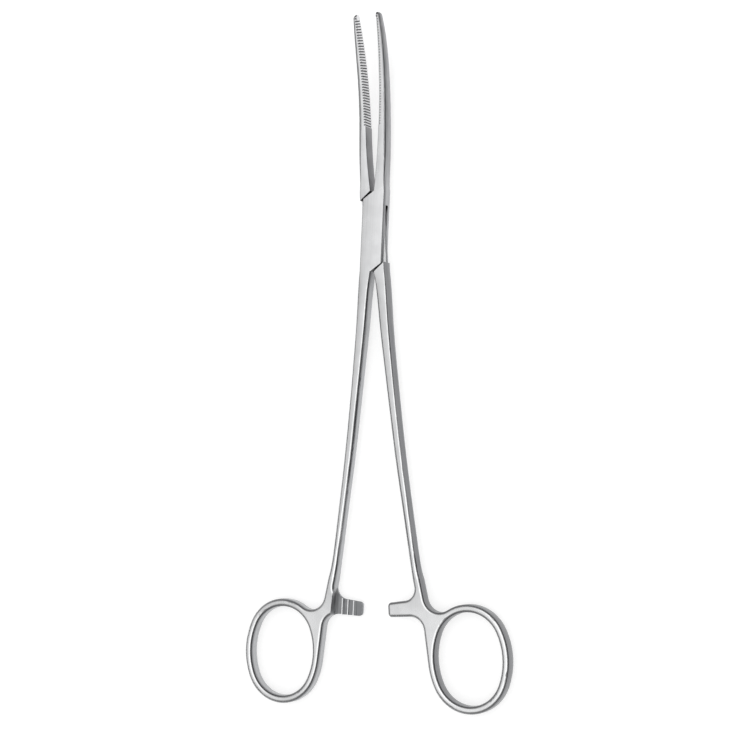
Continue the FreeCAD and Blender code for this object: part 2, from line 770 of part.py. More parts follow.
def finger_hole_edges(oval):
    names = ("top", "right", "bottom", "left")
    joints = [
        oval_joint(oval, "left", "top"),
        oval_joint(oval, "right", "top"),
        oval_joint(oval, "right", "bottom"),
        oval_joint(oval, "left", "bottom"),
    ]
    return [
        arc_between(point(*oval[name]), joints[index], joints[(index + 1) % 4])
        for index, name in enumerate(names)
    ]


def add_handle(body, side):
    """Web, ratchet arm and finger ring as one plate with rounded edges."""
    thick = size("body_thickness")
    outline = sketch_on(body, "handle_outline", "XY_Plane")
    edges = handle_edges(side)
    draw(outline, edges, side)
    last = len(edges) - 1
    join_smoothly(outline, len(edges), (last - 1, last))
    dimension_handle(outline, side)
    plate = pad(body, "handle_plate", outline, thick)
    hole = sketch_on(body, "finger_hole_outline", "XY_Plane", (Size(0), Size(0), thick / 2))
    oval = ring_oval(side, 0)
    draw(hole, finger_hole_edges(oval), side)
    join_smoothly(hole, 4)
    dimension_oval(hole, oval, side, 0)
    opening = cut_both_ways(body, "finger_hole", hole, thick * 2)
    doc.recompute()
    rim = rim_edges(opening.Shape, thick.value)
    return round_edges(body, "handle_rounding", opening, rim, size("handle_round"))


def rim_edges(shape, thick):
    """The edges of a plate's two faces, apart from those of the end that the shank continues."""
    end = max(shape.Faces, key=lambda face: face.CenterOfMass.y)
    names = []
    for index, edge in enumerate(shape.Edges, start=1):
        level = edge.CenterOfMass.z
        flat = edge.BoundBox.ZLength < thick / 2 and min(level, thick - level) < thick / 4
        if flat and not any(edge.isSame(other) for other in end.Edges):
            names.append("Edge%d" % index)
    return names


def thin_arm(body, side):
    """Halve the ratchet arm and cut its teeth; the box half keeps the lower layer."""
    upper = side < 0
    reach = own(side, "arm_reach")
    thick = size("body_thickness")
    crest = thick / 2 + size("tooth_clearance") / 2
    arm_top, arm_bottom = arm_levels()
    top = arm_top + size("web_upper_radius")
    bottom = arm_bottom - size("web_lower_radius")
    root_top = own(side, "handle_out") - size("arm_root_top")
    root_bottom = own(side, "handle_out") - size("arm_root_bottom")
    end = -reach - size("arm_height")
    level = -thick if upper else thick * 2
    outline = [
        (end * -side, top),
        (root_top * -side, top),
        (root_bottom * -side, bottom),
        (end * -side, bottom),
    ]
    sketch = sketch_on(body, "arm_outline", "XY_Plane", (Size(0), Size(0), level))
    polygon(sketch, outline)
    recess = make_feature(body, "Pocket", "arm_recess", sketch)
    recess.Reversed = upper
    bind(recess, "Length", thick + crest)

    first = -reach + size("tooth_end")
    run = size("tooth_pitch")
    face = crest if upper else thick - crest
    depth = size("tooth_height") * (1 if upper else -1)
    space = sketch_on(body, "tooth_space", "XZ_Plane", (Size(0), Size(0), -(top + bottom) / 2))
    polygon(space, [
        ((first + run - size("tooth_land")) * -side, face),
        (first * -side, face),
        (first * -side, face + depth),
    ])
    cut = cut_both_ways(body, "tooth_cut", space, top - bottom)
    row = body.newObject("PartDesign::LinearPattern", "ratchet_teeth")
    row.Originals = [cut]
    row.Direction = (space, ["H_Axis"])
    row.Reversed = side > 0
    bind(row, "Length", run * (size("tooth_count") - 1))
    bind_count(row, size("tooth_count"))
    body.Tip = row

    behind = first + run * (size("tooth_count") - 1)
    sketch = sketch_on(body, "root_outline", "XY_Plane", (Size(0), Size(0), level))
    polygon(sketch, [
        (behind * -side, top),
        (root_top * -side, top),
        (root_bottom * -side, bottom),
        (behind * -side, bottom),
    ])
    thinning = make_feature(body, "Pocket", "arm_root", sketch)
    thinning.Reversed = upper
    bind(thinning, "Length", thick + crest + size("tooth_height"))
    return thinning


def bind_count(pattern, count):
    pattern.Occurrences = round(count.value)
    pattern.setExpression("Occurrences", count.formula)


def add_serrations(body, side):
    """V grooves across the curved jaw face, repeated about the axis of the jaw curve."""
    mid = size("body_thickness") / 2
    turn = size("jaw_bow") * side
    face = inner_face(Size(0)) * side
    start = size("curve_start")
    groove = sketch_on(body, "groove_outline", "XY_Plane", (face, start, mid), Z_AXIS, turn)
    depth = size("serration_depth") * side
    middle = size("serration_pitch") / 2
    spread = size("serration_pitch") - size("serration_land")
    polygon(groove, [
        (-depth, middle - spread),
        (depth, middle),
        (-depth, middle + spread),
    ])
    cut = cut_both_ways(body, "groove", groove, size("body_thickness") * 2)
    centre = (face, start, mid + size("curve_radius"))
    axis = sketch_on(body, "curve_axis", "XY_Plane", centre, Z_AXIS, turn)
    row = body.newObject("PartDesign::PolarPattern", "serrations")
    row.Originals = [cut]
    row.Axis = (axis, ["H_Axis"])
    count = whole((jaw_arc() - size("serration_end")) / size("serration_pitch"))
    bind(row, "Angle", size("serration_pitch") / size("curve_radius") * (180 / math.pi) * (count - 1))
    bind_count(row, count)
    body.Tip = row
    return row


def make_half(name, side, cut_lock):
    """One forging, modelled with the jaws closed and turned by its share of the opening."""
    body = doc.addObject("PartDesign::Body", name)
    body.Label = name
    add_handle(body, side)
    thin_arm(body, side)
    add_shank(body, side)
    add_lock_block(body)
    add_jaw(body, side)
    cut_lock(body, side)
    add_serrations(body, side)
    turn = size("opening_angle") / 2 * -side
    body.Placement = FreeCAD.Placement(Vector(0, 0, 0), FreeCAD.Rotation(Z_AXIS, turn.value))
    body.setExpression("Placement.Rotation.Angle", turn.formula)
    return body


def make_pin():
    """The joint pin, pressed into both walls of the box and ground flush with them."""
    pin = doc.addObject("Part::Cylinder", "hinge_pin")
    pin.Label = "hinge_pin"
    bind(pin, "Radius", size("pin_radius"))
    bind(pin, "Height", size("body_thickness"))
    return pin


def check(parts):
    """Stop if any object failed or a sub-part is not one sound solid."""
    for item in doc.Objects:
        if "Invalid" in item.State or "Error" in item.State:
            raise RuntimeError("%s failed: %s" % (item.Name, item.State))
    for part in parts:
        shape = part.Shape
        if shape.isNull() or not shape.isValid() or len(shape.Solids) != 1:
            raise RuntimeError("%s is not one sound solid" % part.Label)
        box = shape.BoundBox
        extent = (box.XMin, box.XMax, box.YMin, box.YMax, box.ZMin, box.ZMax)
        print(part.Label, round(shape.Volume, 1), [round(value, 2) for value in extent])


fill_sheet()
halves = [
    make_half("box_half", 1, cut_box),
    make_half("tenon_half", -1, cut_tenon),
]
subparts = halves + [make_pin()]
doc.recompute()
check(subparts)
os.makedirs("parts", exist_ok=True)
for part in subparts:
    part.Shape.exportStep("parts/%s.step" % part.Label)
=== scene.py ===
# Ring-handled dissecting forceps in satin ground stainless steel, lying slightly open on a pale floor.
#
# The script is laid out as an add-on: property groups hold the sizes and colours, one operator
# finishes each piece, and a panel lists them. Lengths are in metres and in the frame of the solids:
# +Y runs along the instrument to the jaw tips and +Z points up from the floor.

import math
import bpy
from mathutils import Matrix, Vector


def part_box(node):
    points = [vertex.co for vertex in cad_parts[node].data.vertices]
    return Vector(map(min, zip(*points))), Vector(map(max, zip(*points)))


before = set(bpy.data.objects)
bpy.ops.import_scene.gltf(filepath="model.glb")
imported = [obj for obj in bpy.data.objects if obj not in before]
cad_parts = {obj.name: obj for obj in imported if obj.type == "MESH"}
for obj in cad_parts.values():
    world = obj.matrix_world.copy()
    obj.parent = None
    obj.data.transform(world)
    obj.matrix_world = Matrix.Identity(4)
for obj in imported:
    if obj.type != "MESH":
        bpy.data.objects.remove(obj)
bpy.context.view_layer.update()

from types import SimpleNamespace
from typing import NamedTuple

import bmesh
import bpy
from bpy.props import FloatProperty, FloatVectorProperty, PointerProperty
from mathutils import Matrix, Vector

bl_info = {
    "name": "Dissecting Forceps",
    "version": (1, 0, 0),
    "blender": (4, 5, 0),
    "location": "View3D > Sidebar > Forceps",
    "description": "Steel finish, floor, light and camera for ring-handled forceps",
    "category": "Object",
}

MM = 0.001
PHOTO_SIZE = 750
SENSOR_WIDTH = 36.0
CLIP_START = 0.01

# Measures of the solids, each half in its own frame with the jaws closed
HALF_TURN = math.radians(2.83)  # from closed to rest
THICKNESS = 4.8 * MM
LOCK_END = 14.0 * MM
SERRATION_START = 37.0 * MM
SERRATION_PITCH = 0.96 * MM
CURVE_RADIUS = 125.0 * MM  # of the jaws' rise from the plane of the lock
JAW_TIP = 77.7 * MM
JAW_BOW = math.radians(0.83)  # between a jaw's face and the centre plane
RECESS_TOP = -123.4 * MM
RECESS_BOTTOM = -137.3 * MM
RECESS_SLOPE = 0.9 / 13.9  # how far its root leans over its length
WEB_SHARE = 0.17  # of the instrument's length, from the finger rings' end
RING_FADE = 12.0 * MM  # over which the rings' polish begins

# Middle line and half width of the front faces, for the slight crown that grinding leaves on them
LOCK_HALF_WIDTH = 4.15 * MM
SHANK_HALF_WIDTH = 1.9 * MM
SHANK_START = 2.2 * MM
JAW_MIDDLE = 2.4 * MM
JAW_CLOSING = 0.6  # towards the centre plane, with the square of the distance
JAW_CLOSING_START = 25.0 * MM

# Share of the crown that the lock and the jaws have, and how far they lean to one side besides
LOCK_CROWN = 0.7
JAW_CROWN = 0.6
FRONT_LEAN = 0.5

# Each pair from here on is where a mask begins and where it is full. These are places along the
# instrument
JAW_FACE_START = (13.5 * MM, 14.5 * MM)
SERRATED = (SERRATION_START - 0.2 * MM, SERRATION_START)
BLUNT_JAW = (14.0 * MM, 24.0 * MM)
NEAR_LOCK = (LOCK_END + 1.2 * MM, LOCK_END + 0.4 * MM)
CROTCH = (12.0 * MM, 13.0 * MM)
SLOT_SHADOW = (6.5 * MM, 8.8 * MM)
RECESS_UPPER = (RECESS_TOP + 0.5 * MM, RECESS_TOP - 2.5 * MM)
RECESS_LOWER = (RECESS_BOTTOM - 0.6 * MM, RECESS_BOTTOM)
CROWN_OF_JAW = (LOCK_END - 4.0 * MM, LOCK_END + 8.0 * MM)
CROWN_OF_SHANK = (-LOCK_END + 4.0 * MM, -LOCK_END - 8.0 * MM)
CROWNED = (-122.0 * MM, -110.0 * MM)

# Places across the instrument, and depths
GROOVE_DEPTH = (0.13 * MM, 0.27 * MM)
RIM_DEPTH = (0.8 * MM, 0.65 * MM)
SHOULDER_DEPTH = (0.1 * MM, 0.6 * MM)
CHEEK_DEPTH = (1.2 * MM, 1.45 * MM)
RECESS_EDGE = (-0.06 * MM, 0.0)
ARM_TOP = (2.3 * MM, 2.2 * MM)
ARM_BOTTOM = (-1.0 * MM, -0.85 * MM)
CREST_LEVEL = (-0.12 * MM, -0.08 * MM)
TOOTHED = (0.4 * MM, 0.3 * MM)
HOLLOW = (-4.5 * MM, -5.0 * MM)

# Shares of the depth of the flanks' painted dark band, and of the serrations' pitch from a groove's
# middle, for the notches' painted shade
LIT_BAND = (0.35, 1.0)
NOTCH = (0.3, 0.2)

# Shares of the normal that point the way in question
EDGE_ROUNDING = (0.2, 0.7)
# FLANK_UPRIGHT is where the flanks' painted shade begins, and LIT_FLANK_UPRIGHT where it lightens
FLANK_UPRIGHT = (0.88, 0.66)
LIT_FLANK_UPRIGHT = (0.62, 0.25)
JAW_FACE_INWARD = (0.35, 0.6)
RIM_UPWARD = (0.4, 0.6)
SHOULDER_ALONG = (0.4, 0.6)
CHEEK_FLAT = (0.8, 0.95)
CREST_FLAT = (0.96, 0.99)

# Values of the noise
PATTERN_RANGE = (0.3, 0.7)
STREAK_RANGE = (0.42, 0.58)

# How strongly one thing changes another
# The next two lines set the jaws' painted flank shade, which begins earlier on them and is darker
BLUNT_LEAN = 0.08  # how much steeper the jaws' wide roundings count
JAW_FLANK_SHADE = 0.4  # how much the jaws' flanks lose of their brightness
# The next three lines set painted shade in the lock: on its shoulders, and on the cheek in the box
# half's slot near the joint
SHOULDER_SHADE = 0.9  # darkness of the lock's shoulders, between the two halves' own
SHOULDER_SHADE_STEP = 0.1  # less of it on the box half, and more on the tenon half
SLOT_SHADE = 0.4  # darkness inside the box half's slot, nearest the joint
BAND_SCALE = 0.22  # number of bands for each grinding line
CLOUD_SCALE = 0.06  # number of clouds for each dimple
BAND_ROUGHNESS = 0.04
CLOUD_ROUGHNESS = 0.05
GRAIN_SHADE = 0.9  # brightness of the ground faces' darker bands
HOLLOW_STREAK_SHADE = 0.65  # brightness of the hollow's darker streaks
RING_POLISH = 0.5  # how polished the finger rings are
POLISHED_OFF = 0.85  # share of the grinding lines that polishing takes off

PAPER_ROUGHNESS = 0.9
WALL_SEGMENTS = 64


class HalfShape(NamedTuple):
    """What differs between the halves; distances are from the centre plane, with the jaws closed."""

    side: float  # 1 for the half whose jaw is at +X, and -1 for the other
    arm_root: float  # distance to the root of the thinned ratchet arm
    last_tooth: float  # distance to the arm's last tooth
    # The flanks' painted shade lightens below the depth in band, to the share in brightness; the tenon
    # half keeps more of it
    band: float  # depth below the front face at which the flanks are light again
    brightness: float  # how light they are there
    bend: float  # slope of the shank's middle line at the lock
    curve: float  # half of what each metre adds to that slope


BOX_HALF = HalfShape(
    side=1.0,
    arm_root=8.65 * MM,
    last_tooth=1.8 * MM,
    band=1.8 * MM,
    brightness=1.0,
    bend=0.0314,
    curve=0.339,
)
TENON_HALF = HalfShape(
    side=-1.0,
    arm_root=10.0 * MM,
    last_tooth=3.25 * MM,
    band=4.6 * MM,
    brightness=0.45,
    bend=0.0377,
    curve=0.3955,
)


def web_start():
    """Y of the place where the finger rings' webs begin, as a share of the instrument's length."""
    low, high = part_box("box_half")
    return low.y + (high.y - low.y) * WEB_SHARE


def colour_property(name, description, default):
    """A colour that the user can change."""
    return FloatVectorProperty(
        name=name,
        description=description,
        subtype="COLOR",
        size=3,
        min=0.0,
        max=1.0,
        default=default,
    )


def share_property(name, description, default):
    """A number from 0 to 1."""
    return FloatProperty(name=name, description=description, min=0.0, max=1.0, default=default)


def length_property(name, description, default):
    """A length in metres."""
    return FloatProperty(name=name, description=description, unit="LENGTH", default=default)


def angle_property(name, description, degrees):
    """An angle, whose default is given in degrees."""
    return FloatProperty(
        name=name,
        description=description,
        subtype="ANGLE",
        default=math.radians(degrees),
    )


def place_property(name, description, default):
    """A point of the scene."""
    return FloatVectorProperty(
        name=name,
        description=description,
        subtype="TRANSLATION",
        size=3,
        default=default,
    )


class SteelSettings(bpy.types.PropertyGroup):
    """Colour and finish of the steel, with the shade and highlights painted on it."""

    colour: colour_property(
        "Steel Colour",
        "Reflected colour of the ground steel",
        (0.74, 0.744, 0.752),
    )
    polished_colour: colour_property(
        "Polished Colour",
        "Reflected colour where the steel is polished",
        (0.86, 0.863, 0.87),
    )
    # Painted shade: the flanks are coloured darker than the ground faces, for the shade that they
    # mirror
    flank_shade_colour: colour_property(
        "Flank Colour",
        "Reflected colour of the steep sides, which are left darker than the ground faces",
        (0.47, 0.475, 0.485),
    )
    # Painted dark reflection on the flanks just beside the edges
    flank_band_shade_colour: colour_property(
        "Band Colour",
        "Reflected colour of the flanks just beside the edges, where they are darkest",
        (0.23, 0.232, 0.24),
    )
    # Painted highlight on the tenon's cheeks and on the ratchet teeth's crests
    painted_highlight_colour: colour_property(
        "Cheek Colour",
        "Reflected colour of the bright sliding faces: the tenon's cheeks and the teeth's crests",
        (0.9, 0.903, 0.91),
    )
    # Painted shade on the faces between the jaws, for the shade that falls between them
    jaw_face_shade_colour: colour_property(
        "Inner Face Colour",
        "Reflected colour of the matt faces between the jaws",
        (0.36, 0.36, 0.37),
    )
    # Painted highlight on the lands between the serrations
    land_highlight_colour: colour_property(
        "Land Colour",
        "Reflected colour of the lands between the serrations, which wear bright",
        (0.82, 0.82, 0.83),
    )
    # Painted shade deep in the serrations and where they notch the front edge
    groove_shade_colour: colour_property(
        "Groove Colour",
        "Reflected colour deep in the serrations",
        (0.1, 0.1, 0.105),
    )
    # Painted shade in the ratchet recess, for the shade of its lower level
    recess_shade_colour: colour_property(
        "Recess Colour",
        "Reflected colour of the coarsely ground ratchet recess",
        (0.34, 0.345, 0.355),
    )
    # The recess's painted shade, kept lighter in the hollow root, which its step shades already
    hollow_shade_colour: colour_property(
        "Hollow Colour",
        "Reflected colour of the ratchet arm's hollow root, which its step shades",
        (0.48, 0.485, 0.495),
    )
    # The recess's grinding streaks, darker still with its painted shade
    streak_and_shade_colour: colour_property(
        "Streak Colour",
        "Reflected colour of the darker grinding streaks in the recess",
        (0.12, 0.123, 0.13),
    )
    # Painted shade deep in the lock's gaps and crotches
    gap_shade_colour: colour_property(
        "Gap Colour",
        "Reflected colour deep in the gaps of the lock",
        (0.02, 0.02, 0.02),
    )
    satin_roughness: share_property("Satin Roughness", "Roughness of the ground faces", 0.34)
    polished_roughness: share_property(
        "Polished Roughness",
        "Roughness of the rounded edges and finger rings",
        0.2,
    )
    recess_roughness: share_property(
        "Recess Roughness",
        "Roughness of the coarsely ground faces",
        0.5,
    )
    grain_width: length_property("Grain Width", "Width of the grinding lines", 0.16 * MM)
    grain_stretch: FloatProperty(
        name="Grain Stretch",
        description="Length of a grinding line as a multiple of its width",
        default=45.0,
    )
    grain_depth: length_property("Grain Depth", "Depth of the grinding lines", 0.005 * MM)
    speckle_width: length_property(
        "Speckle Width",
        "Width of the fine dimples left by blasting",
        0.3 * MM,
    )
    crown: angle_property(
        "Crown",
        "Slope that grinding leaves at the edges of the front and back faces",
        7.5,
    )


class StageSettings(bpy.types.PropertyGroup):
    """Floor, light and camera."""

    floor_size: length_property("Floor Size", "Side of the square floor", 6.0)
    floor_colour: colour_property("Floor Colour", "Colour of the floor", (0.56, 0.56, 0.56))
    floor_glow: share_property(
        "Floor Glow",
        "Light added to the floor where it is seen directly or in metal, up to white",
        0.6,
    )
    sky_level: share_property("Sky Level", "Strength of the even light from all round", 0.88)
    softbox_level: FloatProperty(
        name="Softbox Level",
        description="Brightness that the overhead softbox adds to the sky, where 1 is white",
        default=0.35,
    )
    softbox_place: place_property(
        "Softbox Place",
        "Middle of the softbox, which looks straight down",
        (0.15, -0.05, 1.2),
    )
    softbox_width: length_property("Softbox Width", "Size of the softbox along X", 0.9)
    softbox_length: length_property("Softbox Length", "Size of the softbox along Y", 1.4)
    wall_level: share_property(
        "Wall Level",
        "Brightness of the lower part of the studio walls, which only the steel mirrors",
        0.2,
    )
    wall_fade: length_property(
        "Wall Fade",
        "Height at which the walls begin to brighten towards white",
        1.5,
    )
    wall_skew: FloatProperty(
        name="Wall Skew",
        description="How much higher the walls stay dark for each metre towards +X",
        default=0.2,
    )
    wall_distance: length_property("Wall Distance", "Radius of the ring of studio walls", 2.0)
    wall_height: length_property("Wall Height", "Height of the studio walls", 4.0)
    camera_distance: length_property(
        "Camera Distance",
        "Distance from the camera to the point that it looks at",
        599.8 * MM,
    )
    camera_side: angle_property(
        "Camera Side Angle",
        "Turn of the camera from straight above towards +X",
        26.945,
    )
    camera_tilt: angle_property(
        "Camera Tilt",
        "Turn of the camera towards the jaw tips, or towards the finger rings below zero",
        -4.041,
    )
    camera_roll: angle_property("Camera Roll", "Turn of the camera about its own axis", 0.107)
    camera_target: place_property(
        "Camera Target",
        "Point that the camera looks at",
        (0.159 * MM, -49.66 * MM, 2.424 * MM),
    )
    focal_pixels: FloatProperty(
        name="Focal Length in Pixels",
        description="Focal length as a number of the photograph's pixels",
        default=1742.8,
    )


def feed(tree, socket, value):
    """Link another socket to this one, or give it a plain value."""
    if isinstance(value, bpy.types.NodeSocket):
        tree.links.new(value, socket)
    else:
        socket.default_value = value


def new_group(name, inputs, outputs):
    """An empty shader node group, the sockets that it is given and those that it fills.

    Vector and Normal are vectors, and every other socket is a number.
    """
    group = bpy.data.node_groups.new(name, "ShaderNodeTree")
    for direction, labels in (("INPUT", inputs), ("OUTPUT", outputs)):
        for label in labels:
            kind = "NodeSocketVector" if label in ("Vector", "Normal") else "NodeSocketFloat"
            group.interface.new_socket(label, in_out=direction, socket_type=kind)
    given = group.nodes.new("NodeGroupInput").outputs
    filled = group.nodes.new("NodeGroupOutput").inputs
    return group, given, filled


def add_math(tree, operation, *operands, clamp=False):
    """A Math node on sockets or numbers, and one more of the same for each operand past two."""
    node = tree.nodes.new("ShaderNodeMath")
    node.operation = operation
    node.use_clamp = clamp
    for socket, operand in zip(node.inputs, operands[:2]):
        feed(tree, socket, operand)
    if len(operands) > 2:
        return add_math(tree, operation, node.outputs[0], *operands[2:], clamp=clamp)
    return node.outputs[0]


def add_range(tree, value, low, high, new_low=0.0, new_high=1.0):
    """A smooth Map Range node; each limit is a socket or a number."""
    node = tree.nodes.new("ShaderNodeMapRange")
    node.interpolation_type = "SMOOTHSTEP"
    limits = {"From Min": low, "From Max": high, "To Min": new_low, "To Max": new_high}
    tree.links.new(value, node.inputs["Value"])
    for label, limit in limits.items():
        feed(tree, node.inputs[label], limit)
    return node.outputs["Result"]


def add_noise(tree, vector, scale, detail, roughness):
    """A Noise Texture node."""
    node = tree.nodes.new("ShaderNodeTexNoise")
    node.inputs["Detail"].default_value = detail
    node.inputs["Roughness"].default_value = roughness
    tree.links.new(vector, node.inputs["Vector"])
    tree.links.new(scale, node.inputs["Scale"])
    return node.outputs["Fac"]


def split_vector(tree, vector):
    """The three sockets of a vector."""
    node = tree.nodes.new("ShaderNodeSeparateXYZ")
    tree.links.new(vector, node.inputs[0])
    return node.outputs


def grain_group():
    """Long fine grinding lines along local Y, and wider bands among them."""
    group, given, filled = new_group(
        "Grinding Lines",
        ("Vector", "Width", "Stretch"),
        ("Lines", "Bands"),
    )
    place = split_vector(group, given["Vector"])
    join = group.nodes.new("ShaderNodeCombineXYZ")
    along = add_math(group, "DIVIDE", place["Y"], given["Stretch"])
    for label, value in (("X", place["X"]), ("Y", along), ("Z", place["Z"])):
        group.links.new(value, join.inputs[label])
    scale = add_math(group, "DIVIDE", 1.0, given["Width"])
    lines = add_noise(group, join.outputs[0], scale, detail=4.0, roughness=0.6)
    wide = add_math(group, "MULTIPLY", scale, BAND_SCALE)
    bands = add_noise(group, join.outputs[0], wide, detail=2.0, roughness=0.5)
    group.links.new(lines, filled["Lines"])
    group.links.new(bands, filled["Bands"])
    return group


def speckle_group():
    """Fine uneven dimples and faint cloudy patches."""
    group, given, filled = new_group("Satin Speckle", ("Vector", "Width"), ("Dimples", "Clouds"))
    scale = add_math(group, "DIVIDE", 1.0, given["Width"])
    dimples = add_noise(group, given["Vector"], scale, detail=3.0, roughness=0.6)
    wide = add_math(group, "MULTIPLY", scale, CLOUD_SCALE)
    clouds = add_noise(group, given["Vector"], wide, detail=3.0, roughness=0.5)
    group.links.new(dimples, filled["Dimples"])
    group.links.new(clouds, filled["Clouds"])
    return group


def edge_group():
    """White on rounded edges, and how far a face looks straight up or down."""
    group, given, filled = new_group("Rounded Edge Mask", ("Start", "Full"), ("Mask", "Upright"))
    normal = group.nodes.new("ShaderNodeNewGeometry").outputs["Normal"]
    upright = add_math(group, "ABSOLUTE", split_vector(group, normal)["Z"])
    level = add_math(group, "SUBTRACT", 1.0, add_math(group, "MULTIPLY", upright, upright))
    sideways = add_math(group, "SQRT", level)
    doubled = add_math(group, "MULTIPLY", upright, sideways, 2.0)
    mask = add_range(group, doubled, given["Start"], given["Full"])
    group.links.new(mask, filled["Mask"])
    group.links.new(upright, filled["Upright"])
    return group


def flank_shade_group():
    """White on the flanks, which get painted shade, and white where that shade is painted lighter,
    away from the edges; next to the edges lies a painted dark reflection band.

    Band is the depth below the front face at which they are light again, and Brightness how light.
    Blunt is 1 on the jaws, whose wide roundings get painted shade early and which curve away from the
    others.
    """
    group, given, filled = new_group(
        "Flank Shade Mask",
        ("Vector", "Upright", "Blunt", "Band", "Brightness"),
        ("Flank", "Light"),
    )
    leant = add_math(group, "MULTIPLY", given["Blunt"], BLUNT_LEAN)
    upright = add_math(group, "SUBTRACT", given["Upright"], leant)
    depth = add_math(group, "SUBTRACT", THICKNESS, split_vector(group, given["Vector"])["Z"])
    share = add_math(group, "DIVIDE", depth, given["Band"])
    deep = add_math(group, "MAXIMUM", add_range(group, share, *LIT_BAND), given["Blunt"])
    dimmed = add_math(group, "MULTIPLY", given["Blunt"], JAW_FLANK_SHADE)
    lit = add_math(group, "SUBTRACT", given["Brightness"], dimmed)
    lit = add_math(group, "MAXIMUM", lit, 0.0)
    steep = add_range(group, upright, *LIT_FLANK_UPRIGHT)
    light = add_math(group, "MULTIPLY", deep, lit, steep)
    group.links.new(add_range(group, upright, *FLANK_UPRIGHT), filled["Flank"])
    group.links.new(light, filled["Light"])
    return group


def jaw_face_group():
    """White on the face between the jaws, on the lands of its serrations, and deep in them.

    The face gets painted shade, the lands a painted highlight and the grooves' depths painted shade,
    and Groove also paints shade where the serrations notch the front edge of that face. Side is 1 for
    the half whose jaw lies on the positive side of the centre plane.
    """
    group, given, filled = new_group(
        "Jaw Face Mask",
        ("Vector", "Normal", "Side"),
        ("Face", "Land", "Groove"),
    )
    place = split_vector(group, given["Vector"])
    normal = split_vector(group, given["Normal"])
    inward = add_math(group, "MULTIPLY", normal["X"], given["Side"], -1.0)
    facing = add_range(group, inward, *JAW_FACE_INWARD)
    face = add_math(group, "MULTIPLY", facing, add_range(group, place["Y"], *JAW_FACE_START))

    ahead = add_math(group, "SUBTRACT", JAW_TIP, place["Y"])
    plane = add_math(group, "MULTIPLY", ahead, math.tan(JAW_BOW))
    across = add_math(group, "MULTIPLY", place["X"], given["Side"])
    depth = add_math(group, "SUBTRACT", across, plane)
    serrated = add_range(group, place["Y"], *SERRATED)
    toothed = add_math(group, "MULTIPLY", face, serrated)
    groove = add_math(group, "MULTIPLY", toothed, add_range(group, depth, *GROOVE_DEPTH))
    land = add_math(group, "SUBTRACT", toothed, groove)

    front = add_math(group, "MULTIPLY", add_range(group, normal["Z"], *RIM_UPWARD), serrated)
    rim = add_math(group, "MULTIPLY", front, add_range(group, depth, *RIM_DEPTH))
    below = add_math(group, "SUBTRACT", THICKNESS / 2 + CURVE_RADIUS, place["Z"])
    beyond = add_math(group, "SUBTRACT", place["Y"], SERRATION_START)
    turn = add_math(group, "ARCTAN2", beyond, below)
    number = add_math(group, "MULTIPLY", turn, CURVE_RADIUS / SERRATION_PITCH)
    phase = add_math(group, "FRACT", number)
    off_middle = add_math(group, "ABSOLUTE", add_math(group, "SUBTRACT", phase, 0.5))
    notch_shade = add_math(group, "MULTIPLY", rim, add_range(group, off_middle, *NOTCH))
    group.links.new(face, filled["Face"])
    group.links.new(land, filled["Land"])
    group.links.new(add_math(group, "MAXIMUM", groove, notch_shade), filled["Groove"])
    return group


def lock_gap_group():
    """White deep in the lock's narrow gaps and crotches, where shade is painted, and white on the
    tenon's cheeks, where a highlight is painted.
    """
    group, given, filled = new_group(
        "Lock Gap Mask",
        ("Vector", "Normal", "Side"),
        ("Gap", "Cheek"),
    )
    place = split_vector(group, given["Vector"])
    normal = split_vector(group, given["Normal"])
    along = add_math(group, "ABSOLUTE", place["Y"])
    below = add_math(group, "SUBTRACT", THICKNESS, place["Z"])
    depth = add_math(group, "MINIMUM", below, place["Z"])
    near = add_range(group, along, *NEAR_LOCK)

    crossing = add_range(group, add_math(group, "ABSOLUTE", normal["Y"]), *SHOULDER_ALONG)
    lighter = add_math(group, "MULTIPLY", given["Side"], SHOULDER_SHADE_STEP)
    shade = add_math(group, "SUBTRACT", SHOULDER_SHADE, lighter)
    deep = add_range(group, depth, *SHOULDER_DEPTH)
    shoulder = add_math(group, "MULTIPLY", crossing, deep, shade)

    flat = add_range(group, add_math(group, "ABSOLUTE", normal["Z"]), *CHEEK_FLAT)
    inner = add_range(group, depth, *CHEEK_DEPTH)
    cheek = add_math(group, "MULTIPLY", flat, inner, near)
    slot = add_range(group, along, *SLOT_SHADOW, SLOT_SHADE, 1.0)
    slot = add_math(group, "MULTIPLY", given["Side"], slot)
    hidden = add_math(group, "MAXIMUM", add_range(group, along, *CROTCH), slot)
    shaded = add_math(group, "MULTIPLY", cheek, hidden)
    gap = add_math(group, "MULTIPLY", add_math(group, "MAXIMUM", shoulder, shaded), near)
    group.links.new(gap, filled["Gap"])
    group.links.new(add_math(group, "SUBTRACT", cheek, shaded), filled["Cheek"])
    return group


